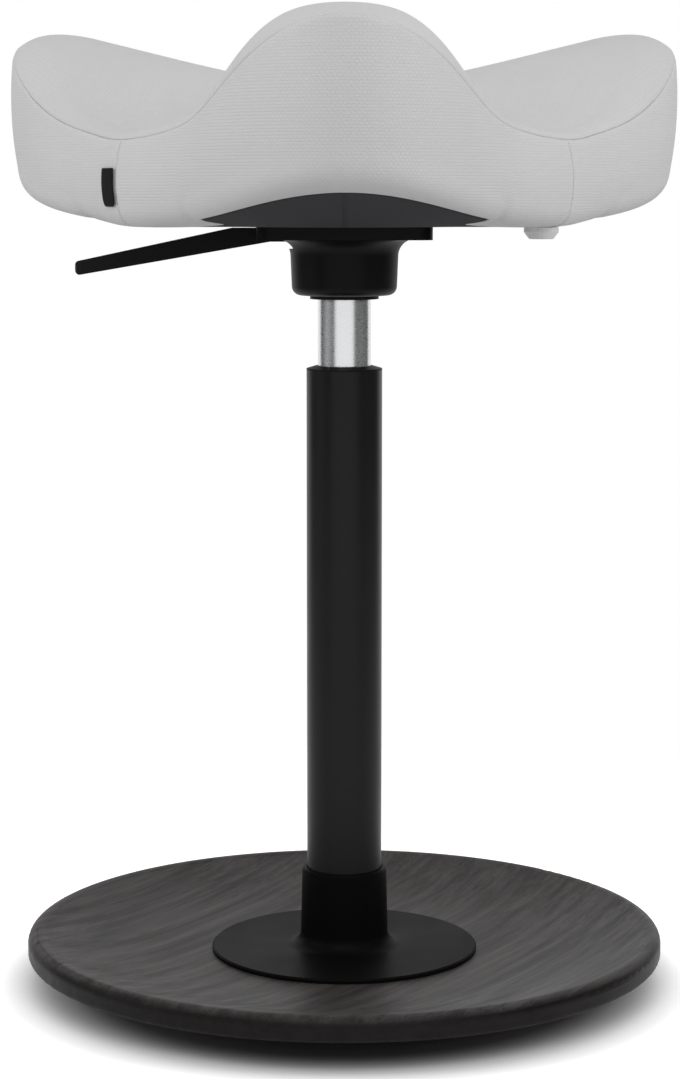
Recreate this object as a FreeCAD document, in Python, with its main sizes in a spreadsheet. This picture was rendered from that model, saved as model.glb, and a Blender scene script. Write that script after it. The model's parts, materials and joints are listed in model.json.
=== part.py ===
import FreeCAD, Part
import math
import os
from types import SimpleNamespace

import Sketcher

# A height-adjustable wobble stool with a three-lobed saddle seat.
# Millimetres, +Z up, origin on the floor under the column, front lobe towards -Y.

SIZES = {
    # Base: a dished wooden disc that rocks on its rounded underside
    "pad_radius": 60.0,
    "pad_thickness": 3.0,
    "disc_radius": 213.0,
    "disc_thickness": 18.0,
    "dish_rise": 16.0,
    "bead_width": 5.0,
    "bead_drop": 1.2,
    "dish_margin": 3.0,
    "rim_height": 16.0,
    "rim_round": 7.0,
    "rim_lower_round": 3.0,
    # Flange with the collar that holds the column
    "flange_radius": 89.3,
    "flange_thickness": 3.0,
    "flange_lip": 1.0,
    "collar_height": 53.0,
    "collar_radius": 28.35,
    "collar_taper": 1.0,
    "collar_fillet": 9.0,
    "collar_gap": 0.5,
    "collar_gap_depth": 4.0,
    # Column
    "column_radius": 25.0,
    "column_wall": 2.5,
    "column_top": 412.3,
    "plug_thickness": 14.0,
    "bolt_radius": 6.0,
    "bolt_head_radius": 9.0,
    "bolt_head_height": 6.5,
    "bolt_socket_radius": 4.0,
    "bolt_socket_depth": 4.0,
    "bolt_setback": 1.0,
    "base_washer_radius": 18.0,
    "base_washer_thickness": 3.0,
    "recess_clearance": 0.5,
    "bearing_plate_bottom": 60.0,
    "bearing_plate_thickness": 6.0,
    "bushing_length": 90.0,
    "bushing_cap": 2.8,
    "bushing_slope": 1.8,
    "bushing_crest": 1.5,
    "bushing_chamfer": 0.5,
    # Gas lift
    "lift_radius": 17.5,
    "lift_wall": 2.0,
    "lift_bottom": 122.0,
    "lift_neck": 465.3,
    "lift_top": 491.0,
    "neck_radius": 14.5,
    "neck_taper": 0.9,
    "lift_shoulder": 2.7,
    "lift_lip": 2.0,
    "lift_lip_reach": 6.0,
    "cylinder_bore": 11.0,
    "cylinder_wall": 1.5,
    "guide_height": 16.0,
    "seal_height": 6.0,
    "pin_radius": 2.5,
    "pin_length": 16.0,
    "pin_surround": 2.0,
    "pin_play": 0.2,
    "rod_radius": 6.0,
    "rod_foot": 54.0,
    "rod_chamfer": 1.0,
    "piston_top": 405.0,
    "piston_height": 16.0,
    "piston_ring_height": 3.0,
    "piston_ring_depth": 2.0,
    "nut_height": 5.0,
    "nut_wall": 3.5,
    "race_radius": 14.0,
    "race_thickness": 2.0,
    "ball_radius": 1.5,
    "ball_circle": 10.0,
    "cage_radius": 13.0,
    "cage_thickness": 1.2,
    "clip_radius": 10.0,
    "clip_thickness": 1.6,
    "clip_groove": 1.0,
    "lift_drop": 38.0,
    "stop_radius": 12.0,
    # Running and seating clearances
    "running_gap": 0.05,
    "seating_gap": 0.02,
    "soft_gap": 0.3,
    "seam_gap": 0.1,
    "overrun": 1.0,
    "hub_overlap": 0.5,
    "hub_step": 0.1,
    # Seat mechanism
    "seat_bottom": 506.5,
    "plate_length": 113.5,
    "plate_width": 96.0,
    "plate_thickness": 8.5,
    "plate_corner": 10.0,
    "housing_radius": 35.4,
    "housing_taper": 0.8,
    "housing_bottom": 461.3,
    "housing_round": 6.0,
    "flare": 11.0,
    "ring_radius": 22.6,
    "ring_thickness": 2.4,
    "channel_width": 30.0,
    "channel_floor": 491.5,
    "channel_end": 15.0,
    # Height lever
    "lever_width": 26.0,
    "lever_pivot": 52.0,
    "pivot_height": 501.0,
    "pivot_radius": 1.8,
    "pivot_pin_length": 40.0,
    "pivot_pin_gap": 0.1,
    "lever_top": 505.3,
    "lever_bottom": 496.4,
    "lever_inner_end": 6.0,
    "lever_bend": 74.0,
    "lever_under_bend": 48.4,
    "lever_reach": 176.5,
    "lever_tip_top": 484.1,
    "lever_tip_bottom": 474.9,
    "lever_tip_round": 3.5,
    "lever_end_round": 2.0,
    "lever_corner": 9.0,
    "lever_waist": 3.0,
    "lever_flare": 40.0,
    # Seat fixings
    "screw_x": 44.0,
    "screw_y": 36.0,
    "screw_radius": 4.0,
    "screw_head_radius": 6.5,
    "screw_head_height": 4.5,
    "screw_hole": 0.5,
    "screw_sink": 6.5,
    "screw_socket_radius": 2.5,
    "screw_socket_depth": 2.0,
    "screw_head_round": 1.5,
    "screw_washer_radius": 8.0,
    "screw_washer_thickness": 1.6,
    "nut_barrel_radius": 5.0,
    "nut_flange_radius": 10.0,
    "nut_flange_thickness": 1.6,
    "nut_setback": 3.0,
    # Seat
    "board_radius": 92.0,
    "board_thickness": 12.0,
    "board_bevel": 11.0,
    "flat_radius": 82.0,
    "hub_radius": 10.0,
    "lobe_reach": 252.4,
    "valley_reach": 161.2,
    "lobe_seam": 628.4,
    "valley_seam": 561.6,
    "lobe_edge": 528.4,
    "valley_edge": 506.8,
    "seat_middle": 595.0,
    "valley_crown": 5.2,
    "lobe_crown": 6.9,
    "flank_crown": 7.0,
    "valley_edge_depth": 12.0,
    "lobe_edge_depth": 36.8,
    "lower_corner": 20.0,
    "side_bulge": 3.0,
    "valley_draw_in": 0.5,
    "lobe_draw_in": 3.9,
    "cover_thickness": 1.5,
    # Tag and bumper
    "tag_width": 18.0,
    "tag_length": 24.2,
    "tag_thickness": 1.0,
    "tag_corner": 3.0,
    "tag_bottom": 519.4,
    "tag_standoff": 1.0,
    "bumper_reach": 143.0,
    "bumper_radius": 11.0,
    "bumper_foot_radius": 8.5,
    "bumper_height": 7.2,
    "bumper_base": 3.0,
    "bumper_chamfer": 1.0,
    "bumper_stem_radius": 3.0,
    "bumper_stem_length": 9.0,
}

BALLS = 12
LOBES = 3
SEAT_SECTIONS_PER_LOBE = 12
SHAPE_OF_PLAN = 2.09
SHAPE_OF_SEAM = 5.76
SHAPE_OF_EDGE = 5.5
EVEN_PART_OF_SEAM = 0.28
FULLNESS_OF_SEAM = 2.42
EVEN_PART_OF_EDGE = 0.5
SHAPE_OF_FLANK = 4.17
SHAPE_OF_SADDLE = 1.22
DIAGONAL = math.sqrt(0.5)

doc = FreeCAD.newDocument("wobble_stool")
sheet = doc.addObject("Spreadsheet::Sheet", "Sizes")
for row, (alias, number) in enumerate(SIZES.items(), 1):
    sheet.set(f"A{row}", alias)
    sheet.set(f"B{row}", str(number))
    sheet.setAlias(f"B{row}", alias)
doc.recompute()


class Length:
    """A number from the sheet together with the formula that gives it."""

    def __init__(self, number, formula):
        self.number = float(number)
        self.formula = formula

    def __add__(self, other):
        other = length(other)
        return Length(self.number + other.number, f"({self.formula} + {other.formula})")

    def __sub__(self, other):
        other = length(other)
        return Length(self.number - other.number, f"({self.formula} - {other.formula})")

    def __mul__(self, other):
        other = length(other)
        return Length(self.number * other.number, f"({self.formula} * {other.formula})")

    def __truediv__(self, other):
        other = length(other)
        return Length(self.number / other.number, f"({self.formula} / {other.formula})")

    def __neg__(self):
        return Length(-self.number, f"(0 - {self.formula})")


def length(value):
    return value if isinstance(value, Length) else Length(value, repr(float(value)))


s = SimpleNamespace(**{alias: Length(sheet.get(alias), f"Sizes.{alias}") for alias in SIZES})
nodes = []


# Shared builders

def keep(item, label):
    """Marks an object as one of the stool's pieces."""
    item.Label = label
    nodes.append(item)
    return item


def new_body(name):
    return doc.addObject("PartDesign::Body", name)


def origin_plane(body, role):
    return next(plane for plane in body.Origin.OriginFeatures if plane.Role == role)


def new_sketch(body, name, role):
    sketch = body.newObject("Sketcher::SketchObject", name)
    sketch.AttachmentSupport = [(origin_plane(body, role), "")]
    sketch.MapMode = "FlatFace"
    return sketch


def fix_point(sketch, geometry, place, across, along):
    """Ties one end of a line or arc to the sheet."""
    for kind, axis, value in (("DistanceX", -2, across), ("DistanceY", -1, along)):
        if value.number == 0:
            sketch.addConstraint(Sketcher.Constraint("PointOnObject", geometry, place, axis))
            continue
        index = sketch.addConstraint(Sketcher.Constraint(kind, geometry, place, value.number))
        sketch.setExpression(f"Constraints[{index}]", value.formula)


def bowed(start, end, radius, side):
    """The arc under half a circle from start to end that bows to one side of its chord."""
    chord = end - start
    half = chord.Length / 2
    across = FreeCAD.Vector(-chord.y, chord.x, 0).normalize() * side
    height = radius - math.sqrt(max(radius * radius - half * half, 0))
    return Part.Arc(start, (start + end) / 2 + across * height, end)


def draw_outline(sketch, path):
    """A closed outline. Each entry is (x, y) or, where an arc follows, (x, y, radius, side)."""
    corners = [(length(entry[0]), length(entry[1])) for entry in path]
    count = len(path)
    for index, entry in enumerate(path):
        x, y = corners[index]
        next_x, next_y = corners[(index + 1) % count]
        start = FreeCAD.Vector(x.number, y.number, 0)
        end = FreeCAD.Vector(next_x.number, next_y.number, 0)
        if len(entry) == 2:
            edge = sketch.addGeometry(Part.LineSegment(start, end))
            fix_point(sketch, edge, 1, x, y)
            fix_point(sketch, edge, 2, next_x, next_y)
            continue
        radius = length(entry[2])
        edge = sketch.addGeometry(bowed(start, end, radius.number, entry[3]))
        ends = [sketch.getPoint(edge, place).distanceToPoint(start) for place in (1, 2)]
        first, last = (2, 1) if ends[0] > ends[1] else (1, 2)
        fix_point(sketch, edge, first, x, y)
        fix_point(sketch, edge, last, next_x, next_y)
        index = sketch.addConstraint(Sketcher.Constraint("Radius", edge, radius.number))
        sketch.setExpression(f"Constraints[{index}]", radius.formula)


def turned(name, path):
    """A body turned round the Z axis from an outline of (radius, height)."""
    body = new_body(name)
    sketch = new_sketch(body, f"{name}_profile", "XZ_Plane")
    draw_outline(sketch, path)
    turning = body.newObject("PartDesign::Revolution", f"{name}_turning")
    turning.Profile = sketch
    turning.ReferenceAxis = (sketch, ["V_Axis"])
    turning.Angle = 360
    sketch.Visibility = False
    return body


def ring(name, inner, outer, bottom, top):
    return turned(name, [(inner, bottom), (outer, bottom), (outer, top), (inner, top)])


def place(item, x=None, y=None, z=None):
    for axis, value in (("x", x), ("y", y), ("z", z)):
        if value is not None:
            item.setExpression(f".Placement.Base.{axis}", length(value).formula)
    return item


def pad(body, sketch, height, both_ways=False):
    feature = body.newObject("PartDesign::Pad", f"{sketch.Name}_pad")
    feature.Profile = sketch
    feature.Midplane = both_ways
    feature.setExpression("Length", length(height).formula)
    sketch.Visibility = False
    return feature


def cylinder(name, radius, bottom, top, x=0, y=0):
    item = doc.addObject("Part::Cylinder", name)
    item.setExpression("Radius", length(radius).formula)
    item.setExpression("Height", (length(top) - bottom).formula)
    return place(item, x, y, bottom)


def cut(name, base, tool):
    item = doc.addObject("Part::Cut", name)
    item.Base = base
    item.Tool = tool
    return item


def joined(name, items):
    item = doc.addObject("Part::MultiFuse", name)
    item.Shapes = items
    return item


def group(name, items):
    item = doc.addObject("Part::Compound", name)
    item.Links = items
    return item


SCREW_PLACES = [(s.screw_x * i, s.screw_y * j) for i in (-1, 1) for j in (-1, 1)]

BUMPER_ANGLE = math.pi / LOBES
BUMPER_PLACE = (s.bumper_reach * math.sin(BUMPER_ANGLE), -s.bumper_reach * math.cos(BUMPER_ANGLE))

# Heights that follow from the sizes

disc_bottom = s.pad_thickness
disc_top = disc_bottom + s.disc_thickness
flange_top = disc_top + s.flange_thickness
rim_top = disc_top + s.dish_rise
rim_bottom = rim_top - s.rim_height
column_bore = s.column_radius - s.column_wall
bearing_top = s.bearing_plate_bottom + s.bearing_plate_thickness
balls_bottom = bearing_top + s.race_thickness + s.running_gap
balls_top = balls_bottom + s.ball_radius * 2
upper_race_bottom = balls_top + s.running_gap
upper_race_top = upper_race_bottom + s.race_thickness
lift_bore = s.lift_radius - s.lift_wall
guide_bottom = s.lift_bottom + s.lift_lip + s.seating_gap
guide_top = guide_bottom + s.guide_height
seal_top = guide_top + s.seal_height
cylinder_outer = s.cylinder_bore + s.cylinder_wall
valve_bottom = s.lift_neck - s.lift_wall
plate_bottom = s.seat_bottom - s.plate_thickness
sink_top = plate_bottom + s.screw_sink
pin_top = s.lever_bottom - s.pin_play
cover_inside = s.seat_bottom + s.cover_thickness
board_bottom = cover_inside + s.soft_gap
board_top = board_bottom + s.board_thickness
underside_run = s.valley_reach - s.valley_draw_in - s.lower_corner - s.flat_radius
underside_rise = s.valley_edge - s.seat_bottom
bumper_run = s.bumper_reach - s.bumper_radius - s.flat_radius
bumper_top = s.seat_bottom + underside_rise * bumper_run / underside_run - s.seating_gap


# Base

def base_disc():
    crest = s.disc_radius - s.rim_round
    bead_curve = (s.bead_width * s.bead_width + s.bead_drop * s.bead_drop) / (s.bead_drop * 2)
    bead_foot = crest - s.bead_width
    dish_run = bead_foot - s.flange_radius - s.dish_margin
    dish_depth = s.dish_rise - s.bead_drop
    dish_curve = (dish_run * dish_run + dish_depth * dish_depth) / (dish_depth * 2)
    under_run = s.disc_radius - s.rim_lower_round - s.pad_radius
    under_rise = rim_bottom - disc_bottom
    under_curve = (under_run * under_run + under_rise * under_rise) / (under_rise * 2)
    hole = s.bolt_radius + s.recess_clearance
    recess = s.base_washer_radius + s.recess_clearance
    recess_top = disc_bottom + s.bolt_head_height + s.base_washer_thickness
    return turned("base_disc", [
        (hole, recess_top),
        (recess, recess_top),
        (recess, disc_bottom),
        (s.pad_radius, disc_bottom, under_curve, -1),
        (s.disc_radius - s.rim_lower_round, rim_bottom, s.rim_lower_round, -1),
        (s.disc_radius, rim_bottom + s.rim_lower_round),
        (s.disc_radius, rim_top - s.rim_round, s.rim_round, -1),
        (crest, rim_top, bead_curve, -1),
        (bead_foot, rim_top - s.bead_drop, dish_curve, 1),
        (bead_foot - dish_run, disc_top),
        (hole, disc_top),
    ])


def base_flange():
    inner = s.column_radius + s.seating_gap
    foot = s.collar_radius + s.collar_taper
    collar_top = flange_top + s.collar_height
    return turned("base_flange", [
        (inner, disc_top),
        (s.flange_radius, disc_top),
        (s.flange_radius, flange_top - s.flange_lip),
        (s.flange_radius - s.flange_lip, flange_top),
        (foot + s.collar_fillet, flange_top, s.collar_fillet, 1),
        (foot, flange_top + s.collar_fillet),
        (s.collar_radius, collar_top - s.flange_lip, s.flange_lip, -1),
        (s.collar_radius - s.flange_lip, collar_top),
        (inner + s.collar_gap, collar_top),
        (inner + s.collar_gap, collar_top - s.collar_gap_depth),
        (inner, collar_top - s.collar_gap_depth),
    ])


def base_bolt():
    head_bottom = disc_bottom
    head_top = head_bottom + s.bolt_head_height
    socket_top = head_bottom + s.bolt_socket_depth
    thread_top = disc_top + s.plug_thickness - s.bolt_setback
    return turned("base_bolt", [
        (0, socket_top),
        (s.bolt_socket_radius, socket_top),
        (s.bolt_socket_radius, head_bottom),
        (s.bolt_head_radius, head_bottom),
        (s.bolt_head_radius, head_top),
        (s.bolt_radius, head_top),
        (s.bolt_radius, thread_top),
        (0, thread_top),
    ])


def guide_bushing():
    inner = s.lift_radius + s.running_gap
    outer = column_bore - s.seating_gap
    top = s.column_top + s.bushing_cap
    return turned("guide_bushing", [
        (inner, s.column_top - s.bushing_length),
        (outer, s.column_top - s.bushing_length),
        (outer, s.column_top),
        (s.column_radius, s.column_top),
        (s.column_radius, top - s.bushing_slope),
        (inner + s.bushing_crest, top),
        (inner, top - s.bushing_chamfer),
    ])


keep(cylinder("floor_pad", s.pad_radius, 0, s.pad_thickness), "floor_pad")
keep(base_disc(), "base_disc")
keep(base_flange(), "base_flange")
keep(base_bolt(), "base_bolt")
keep(
    ring("base_washer", s.bolt_radius + s.seating_gap, s.base_washer_radius,
         disc_bottom + s.bolt_head_height, disc_bottom + s.bolt_head_height + s.base_washer_thickness),
    "base_washer",
)
keep(
    ring("column_plug", s.bolt_radius + s.seating_gap, column_bore - s.seating_gap,
         disc_top, disc_top + s.plug_thickness),
    "column_plug",
)
keep(ring("outer_column", column_bore, s.column_radius, disc_top, s.column_top), "outer_column")
keep(
    ring("bearing_plate", s.rod_radius + s.running_gap, column_bore - s.seating_gap,
         s.bearing_plate_bottom, bearing_top),
    "bearing_plate",
)
keep(
    ring("lower_race", s.rod_radius + s.running_gap, s.race_radius, bearing_top,
         bearing_top + s.race_thickness),
    "lower_race",
)
keep(guide_bushing(), "guide_bushing")


# Swivelling rod

def thrust_balls():
    balls = []
    for index in range(BALLS):
        ball = doc.addObject("Part::Sphere", f"thrust_ball_{index + 1}")
        ball.setExpression("Radius", s.ball_radius.formula)
        angle = index * 360.0 / BALLS
        x = s.ball_circle * math.cos(math.radians(angle))
        y = s.ball_circle * math.sin(math.radians(angle))
        balls.append(place(ball, x, y, balls_bottom + s.ball_radius))
    return group("thrust_balls", balls)


def ball_cage():
    middle = balls_bottom + s.ball_radius
    bottom = middle - s.cage_thickness / 2
    top = middle + s.cage_thickness / 2
    blank = ring("cage_blank", s.rod_radius + s.running_gap * 2, s.cage_radius, bottom, top)
    pocket_radius = s.ball_radius + s.running_gap
    pockets = []
    for index in range(BALLS):
        angle = math.radians(index * 360.0 / BALLS)
        x = s.ball_circle * math.cos(angle)
        y = s.ball_circle * math.sin(angle)
        name = f"cage_pocket_{index + 1}"
        pockets.append(cylinder(name, pocket_radius, bottom - s.overrun, top + s.overrun, x, y))
    return cut("ball_cage", blank, joined("cage_pockets", pockets))


def piston_rod():
    groove_bottom = s.bearing_plate_bottom - s.running_gap - s.clip_thickness
    groove_top = s.bearing_plate_bottom - s.running_gap
    groove = s.rod_radius - s.clip_groove
    rod_top = s.piston_top + s.nut_height + s.rod_chamfer
    return turned("piston_rod", [
        (0, s.rod_foot),
        (s.rod_radius - s.rod_chamfer, s.rod_foot),
        (s.rod_radius, s.rod_foot + s.rod_chamfer),
        (s.rod_radius, groove_bottom),
        (groove, groove_bottom),
        (groove, groove_top),
        (s.rod_radius, groove_top),
        (s.rod_radius, rod_top),
        (0, rod_top),
    ])


def piston():
    middle = s.piston_top - s.piston_height / 2
    outer = s.cylinder_bore - s.running_gap
    groove = outer - s.piston_ring_depth
    bore = s.rod_radius + s.seating_gap
    return turned("piston", [
        (bore, s.piston_top - s.piston_height),
        (outer, s.piston_top - s.piston_height),
        (outer, middle - s.piston_ring_height / 2),
        (groove, middle - s.piston_ring_height / 2),
        (groove, middle + s.piston_ring_height / 2),
        (outer, middle + s.piston_ring_height / 2),
        (outer, s.piston_top),
        (bore, s.piston_top),
    ])


ring_middle = s.piston_top - s.piston_height / 2
ring_half = s.piston_ring_height / 2 - s.seating_gap
keep(thrust_balls(), "thrust_balls")
keep(ball_cage(), "ball_cage")
keep(
    ring("upper_race", s.rod_radius + s.seating_gap, s.race_radius, upper_race_bottom, upper_race_top),
    "upper_race",
)
keep(
    ring("bump_stop", s.rod_radius + s.seating_gap, s.stop_radius, upper_race_top,
         s.lift_bottom - s.lift_drop - s.soft_gap),
    "bump_stop",
)
keep(
    ring("rod_clip", s.rod_radius - s.clip_groove + s.seating_gap, s.clip_radius,
         s.bearing_plate_bottom - s.running_gap - s.clip_thickness,
         s.bearing_plate_bottom - s.running_gap),
    "rod_clip",
)
keep(piston_rod(), "piston_rod")
keep(piston(), "piston")
keep(
    ring("piston_ring", s.cylinder_bore - s.running_gap - s.piston_ring_depth + s.seating_gap,
         s.cylinder_bore - s.seating_gap, ring_middle - ring_half, ring_middle + ring_half),
    "piston_ring",
)
keep(
    ring("piston_nut", s.rod_radius + s.seating_gap, s.rod_radius + s.nut_wall, s.piston_top,
         s.piston_top + s.nut_height),
    "piston_nut",
)


# Gas lift

def pressure_tube():
    inner_neck = s.neck_radius - s.lift_wall
    neck_top = s.neck_radius - s.neck_taper
    return turned("pressure_tube", [
        (lift_bore - s.lift_lip_reach, s.lift_bottom),
        (s.lift_radius, s.lift_bottom),
        (s.lift_radius, s.lift_neck - s.lift_shoulder),
        (s.neck_radius, s.lift_neck),
        (neck_top, s.lift_top),
        (s.pin_radius + s.pin_surround, s.lift_top),
        (s.pin_radius + s.pin_surround, s.lift_top - s.lift_wall),
        (neck_top - s.lift_wall, s.lift_top - s.lift_wall),
        (inner_neck, s.lift_neck - s.lift_wall),
        (lift_bore, s.lift_neck - s.lift_wall - s.lift_shoulder),
        (lift_bore, s.lift_bottom + s.lift_lip),
        (lift_bore - s.lift_lip_reach, s.lift_bottom + s.lift_lip),
    ])


def valve_body():
    reach = s.neck_radius - s.neck_taper - s.lift_wall - s.seating_gap
    return ring("valve_body", s.pin_radius + s.running_gap, reach, valve_bottom,
                s.lift_top - s.lift_wall - s.seating_gap)


keep(pressure_tube(), "pressure_tube")
keep(
    ring("gas_cylinder", s.cylinder_bore, cylinder_outer - s.seating_gap, seal_top, valve_bottom),
    "gas_cylinder",
)
keep(
    ring("rod_guide", s.rod_radius + s.running_gap, lift_bore - s.seating_gap, guide_bottom, guide_top),
    "rod_guide",
)
keep(
    ring("rod_seal", s.rod_radius + s.seating_gap, lift_bore - s.seating_gap, guide_top, seal_top),
    "rod_seal",
)
keep(valve_body(), "valve_body")
keep(cylinder("release_pin", s.pin_radius, pin_top - s.pin_length, pin_top), "release_pin")


# Mechanism

def mechanism_housing():
    plate = new_body("housing_plate")
    outline = new_sketch(plate, "plate_outline", "XY_Plane")
    half_x = s.plate_length / 2
    half_y = s.plate_width / 2
    corner = s.plate_corner
    draw_outline(outline, [
        (corner - half_x, -half_y),
        (half_x - corner, -half_y, corner, -1),
        (half_x, corner - half_y),
        (half_x, half_y - corner, corner, -1),
        (half_x - corner, half_y),
        (corner - half_x, half_y, corner, -1),
        (-half_x, half_y - corner),
        (-half_x, corner - half_y, corner, -1),
    ])
    pad(plate, outline, s.plate_thickness)
    place(plate, z=plate_bottom)
    tube_bore = s.lift_radius + s.seating_gap
    neck_bore = s.neck_radius + s.seating_gap
    foot = s.housing_radius - s.housing_taper
    boss = turned("housing_boss", [
        (tube_bore, s.housing_bottom),
        (foot - s.housing_round, s.housing_bottom, s.housing_round, -1),
        (foot, s.housing_bottom + s.housing_round),
        (s.housing_radius, plate_bottom - s.flare, s.flare, 1),
        (s.housing_radius + s.flare, plate_bottom),
        (s.housing_radius + s.flare, plate_bottom + s.overrun),
        (neck_bore - s.neck_taper, plate_bottom + s.overrun),
        (neck_bore - s.neck_taper, s.lift_top),
        (neck_bore, s.lift_neck),
        (tube_bore, s.lift_neck - s.lift_shoulder),
    ])
    channel = doc.addObject("Part::Box", "lever_channel")
    channel.setExpression("Length", (half_x + s.channel_end + s.overrun).formula)
    channel.setExpression("Width", s.channel_width.formula)
    channel.setExpression("Height", (s.seat_bottom + s.overrun - s.channel_floor).formula)
    place(channel, -half_x - s.overrun, -s.channel_width / 2, s.channel_floor)
    cuts = [channel]
    hole = s.screw_radius + s.screw_hole
    sink = s.screw_washer_radius + s.screw_hole
    for index, (x, y) in enumerate(SCREW_PLACES):
        name = f"plate_hole_{index + 1}"
        cuts.append(cylinder(name, hole, plate_bottom - s.overrun, s.seat_bottom + s.overrun, x, y))
        name = f"plate_sink_{index + 1}"
        cuts.append(cylinder(name, sink, plate_bottom - s.flare, sink_top, x, y))
    pin_length = s.pivot_pin_length + s.pivot_pin_gap * 2
    cuts.append(across_pivot("pivot_hole", s.pivot_radius + s.seating_gap, pin_length))
    return cut("mechanism_housing", joined("housing_casting", [plate, boss]), joined("housing_cuts", cuts))


def across_pivot(name, radius, total):
    """A cylinder lying along Y, centred on the lever's pivot."""
    item = doc.addObject("Part::Cylinder", name)
    item.setExpression("Radius", radius.formula)
    item.setExpression("Height", total.formula)
    item.Placement = FreeCAD.Placement(
        FreeCAD.Vector(0, 0, 0), FreeCAD.Rotation(FreeCAD.Vector(1, 0, 0), -90)
    )
    return place(item, -s.lever_pivot, -total / 2, s.pivot_height)


def height_lever():
    body = new_body("lever_blank")
    side = new_sketch(body, "lever_side", "XZ_Plane")
    tip = -s.lever_reach
    draw_outline(side, [
        (s.lever_inner_end, s.lever_bottom),
        (s.lever_inner_end, s.lever_top - s.lever_end_round, s.lever_end_round, -1),
        (s.lever_inner_end - s.lever_end_round, s.lever_top),
        (-s.lever_bend, s.lever_top),
        (tip + s.lever_tip_round, s.lever_tip_top, s.lever_tip_round, -1),
        (tip, s.lever_tip_top - s.lever_tip_round),
        (tip, s.lever_tip_bottom + s.lever_tip_round, s.lever_tip_round, -1),
        (tip + s.lever_tip_round, s.lever_tip_bottom),
        (-s.lever_under_bend, s.lever_bottom),
    ])
    pad(body, side, s.lever_width, both_ways=True)
    plan_body = new_body("lever_plan")
    plan = new_sketch(plan_body, "lever_plan_outline", "XY_Plane")
    half = s.lever_width / 2
    waist = half - s.lever_waist
    end = s.lever_inner_end + s.overrun
    flare_end = -s.lever_bend - s.lever_flare
    draw_outline(plan, [
        (end, -waist),
        (end, waist),
        (-s.lever_bend, waist),
        (flare_end, half),
        (tip + s.lever_corner, half, s.lever_corner, -1),
        (tip, half - s.lever_corner),
        (tip, s.lever_corner - half, s.lever_corner, -1),
        (tip + s.lever_corner, -half),
        (flare_end, -half),
        (-s.lever_bend, -waist),
    ])
    pad(plan_body, plan, s.lever_top - s.lever_tip_bottom + s.overrun * 2)
    place(plan_body, z=s.lever_tip_bottom - s.overrun)
    shaped = doc.addObject("Part::MultiCommon", "lever_shaped")
    shaped.Shapes = [body, plan_body]
    bore = across_pivot("lever_bore", s.pivot_radius + s.running_gap, s.lever_width + s.overrun)
    return cut("height_lever", shaped, bore)


keep(mechanism_housing(), "mechanism_housing")
keep(
    ring("mechanism_ring", s.lift_radius + s.seating_gap, s.ring_radius,
         s.housing_bottom - s.ring_thickness, s.housing_bottom),
    "mechanism_ring",
)
keep(height_lever(), "height_lever")
keep(across_pivot("lever_pin", s.pivot_radius, s.pivot_pin_length), "lever_pin")


# Seat fixings

def seat_screw(name, x, y):
    head_top = sink_top - s.screw_washer_thickness
    head_bottom = head_top - s.screw_head_height
    socket_top = head_bottom + s.screw_socket_depth
    tip = board_top - s.nut_flange_thickness / 2
    body = turned(name, [
        (0, socket_top),
        (s.screw_socket_radius, socket_top),
        (s.screw_socket_radius, head_bottom),
        (s.screw_head_radius - s.screw_head_round, head_bottom),
        (s.screw_head_radius, head_bottom + s.screw_head_round),
        (s.screw_head_radius, head_top),
        (s.screw_radius, head_top),
        (s.screw_radius, tip),
        (0, tip),
    ])
    return place(body, x, y)


def seat_washer(name, x, y):
    body = ring(name, s.screw_radius + s.seating_gap, s.screw_washer_radius,
                sink_top - s.screw_washer_thickness, sink_top)
    return place(body, x, y)


def tee_nut(name, x, y):
    inner = s.screw_radius + s.seating_gap
    body = turned(name, [
        (inner, board_bottom + s.nut_setback),
        (s.nut_barrel_radius, board_bottom + s.nut_setback),
        (s.nut_barrel_radius, board_top - s.nut_flange_thickness),
        (s.nut_flange_radius, board_top - s.nut_flange_thickness),
        (s.nut_flange_radius, board_top),
        (inner, board_top),
    ])
    return place(body, x, y)


def four(name, builder):
    return group(name, [builder(f"{name}_{i + 1}", x, y) for i, (x, y) in enumerate(SCREW_PLACES)])


def seat_board():
    blank = turned("board_blank", [
        (0, board_bottom),
        (s.board_radius - s.board_bevel, board_bottom),
        (s.board_radius, board_bottom + s.board_bevel),
        (s.board_radius, board_top),
        (0, board_top),
    ])
    cuts = []
    for index, (x, y) in enumerate(SCREW_PLACES):
        cuts.append(
            cylinder(f"board_hole_{index + 1}", s.nut_barrel_radius + s.seating_gap,
                     board_bottom - s.overrun, board_top + s.overrun, x, y)
        )
        cuts.append(
            cylinder(f"board_sink_{index + 1}", s.nut_flange_radius + s.seating_gap,
                     board_top - s.nut_flange_thickness, board_top + s.overrun, x, y)
        )
    return cut("seat_board", blank, joined("board_cuts", cuts))


keep(four("seat_screws", seat_screw), "seat_screws")
keep(four("seat_washers", seat_washer), "seat_washers")
keep(four("tee_nuts", tee_nut), "tee_nuts")
keep(seat_board(), "seat_board")


# Seat form: sections in half-planes round the axis, each made of arcs and lines.
# An angle of 0 looks down the middle of the front lobe, and a lobe repeats every third of a turn.

def lobe_share(angle, shape, even_part=0, fullness=0):
    """1 in the middle of a lobe and 0 in a valley.

    The even part rises along a plain cosine, and fullness swells the shoulders of the rest.
    """
    wave = (1 + math.cos(LOBES * angle)) / 2
    peak = wave ** shape * (1 + fullness * (1 - wave))
    return even_part * wave + (1 - even_part) * peak


def between(valley, lobe, share):
    return valley + (lobe - valley) * share


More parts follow.
